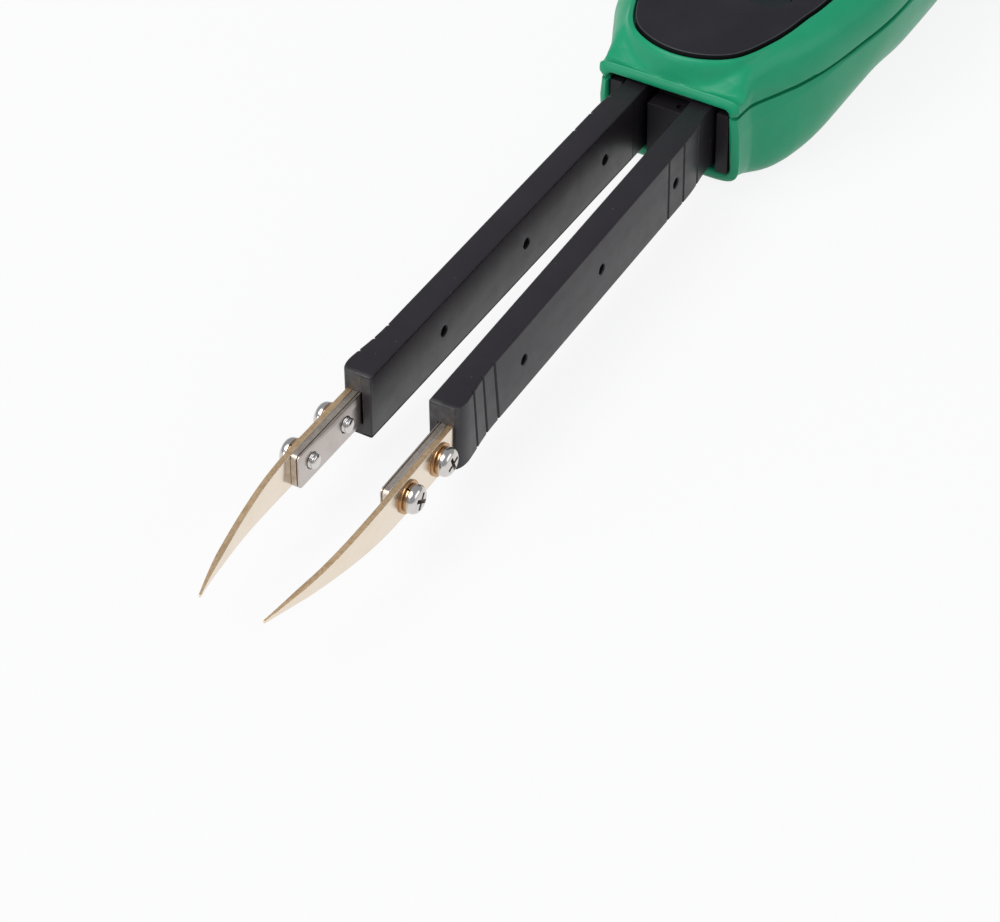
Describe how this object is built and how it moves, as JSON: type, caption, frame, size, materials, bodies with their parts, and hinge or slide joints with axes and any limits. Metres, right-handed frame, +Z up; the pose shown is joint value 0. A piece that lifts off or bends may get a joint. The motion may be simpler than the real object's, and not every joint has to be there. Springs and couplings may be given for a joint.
{
  "type": "smd test tweezers",
  "caption": "Handheld tweezer meter: a rounded case with display and buttons, and two sprung arms with gold-plated tips for gripping and measuring chip parts.",
  "frame": {"origin": "middle of the part's box, on the surface it rests on", "axes": "+X from the tips towards the rear of the case, +Y towards the left arm as seen by a user who holds the case and looks towards the tips, +Z up out of the display"},
  "size_m": [0.181, 0.035, 0.02],
  "materials": {
    "green_shell": "satin moulded plastic",
    "black_panel": "fine matt plastic",
    "lcd_window": "clear, polished",
    "lcd_glass": "grey-green reflective display",
    "black_arm": "satin moulded plastic",
    "button_plastic": "smooth satin",
    "strip_steel": "brushed along its length",
    "gold_plate": "gold plated, lightly polished",
    "washer_gold": "gold plated",
    "screw_steel": "bright plated",
    "spring_steel": "drawn wire",
    "circuit_board": "solder mask over copper",
    "component_black": "moulded",
    "cell_steel": "drawn can",
    "contact_metal": "tinned spring strip",
    "elastomer": "soft",
    "lead_red": "insulated wire",
    "lead_black": "insulated wire"
  },
  "bodies": {
    "case": {"upper_shell": "green_shell", "lower_shell": "green_shell", "face_panel": "black_panel", "display_window": "lcd_window", "display_glass": "lcd_glass", "display_contact_strips": "elastomer", "circuit_board": "circuit_board", "board_components": "component_black", "board_screws": "screw_steel", "left_button_switch": "component_black", "right_button_switch": "component_black", "battery_holder": "black_panel", "coin_cell": "cell_steel", "battery_contact_clip": "contact_metal", "battery_contact_spring": "contact_metal", "case_screws": "screw_steel", "arm_yoke": "black_arm", "left_pivot_pin": "screw_steel", "right_pivot_pin": "screw_steel", "left_return_spring": "spring_steel", "right_return_spring": "spring_steel"},
    "left_arm": {"left_arm_channel": "black_arm", "left_arm_cover": "black_arm", "left_electrode_strip": "strip_steel", "left_tip_blade": "gold_plate", "left_tip_screws": "screw_steel", "left_spring_washers": "washer_gold", "left_flat_washers": "washer_gold", "left_signal_lead": "lead_red"},
    "right_arm": {"right_arm_channel": "black_arm", "right_arm_cover": "black_arm", "right_electrode_strip": "strip_steel", "right_tip_blade": "gold_plate", "right_tip_screws": "screw_steel", "right_spring_washers": "washer_gold", "right_flat_washers": "washer_gold", "right_signal_lead": "lead_black"},
    "left_button": {"left_button": "button_plastic"},
    "right_button": {"right_button": "button_plastic"},
    "battery_door": {"battery_door": "green_shell"}
  },
  "joints": [
    {"name": "left_arm_pivot", "type": "hinge", "parent": "case", "child": "left_arm", "pos_m": [0.0215, 0.00712, 0.0095], "axis": [0, 0, 1], "range_deg": [0, 2.08], "stiffness_Nm_per_rad": 0.8, "springref_deg": -1.15},
    {"name": "right_arm_pivot", "type": "hinge", "parent": "case", "child": "right_arm", "pos_m": [0.0215, -0.00712, 0.0095], "axis": [0, 0, -1], "range_deg": [0, 2.08], "stiffness_Nm_per_rad": 0.8, "springref_deg": -1.15},
    {"name": "left_button_press", "type": "slide", "parent": "case", "child": "left_button", "axis": [0, 0, -1], "range_m": [0, 0.0005], "stiffness_N_per_m": 1200, "springref_m": -0.0003},
    {"name": "right_button_press", "type": "slide", "parent": "case", "child": "right_button", "axis": [0, 0, -1], "range_m": [0, 0.0005], "stiffness_N_per_m": 1200, "springref_m": -0.0003},
    {"name": "battery_door_slide", "type": "slide", "parent": "case", "child": "battery_door", "axis": [1, 0, 0], "range_m": [0, 0.03]}
  ]
}
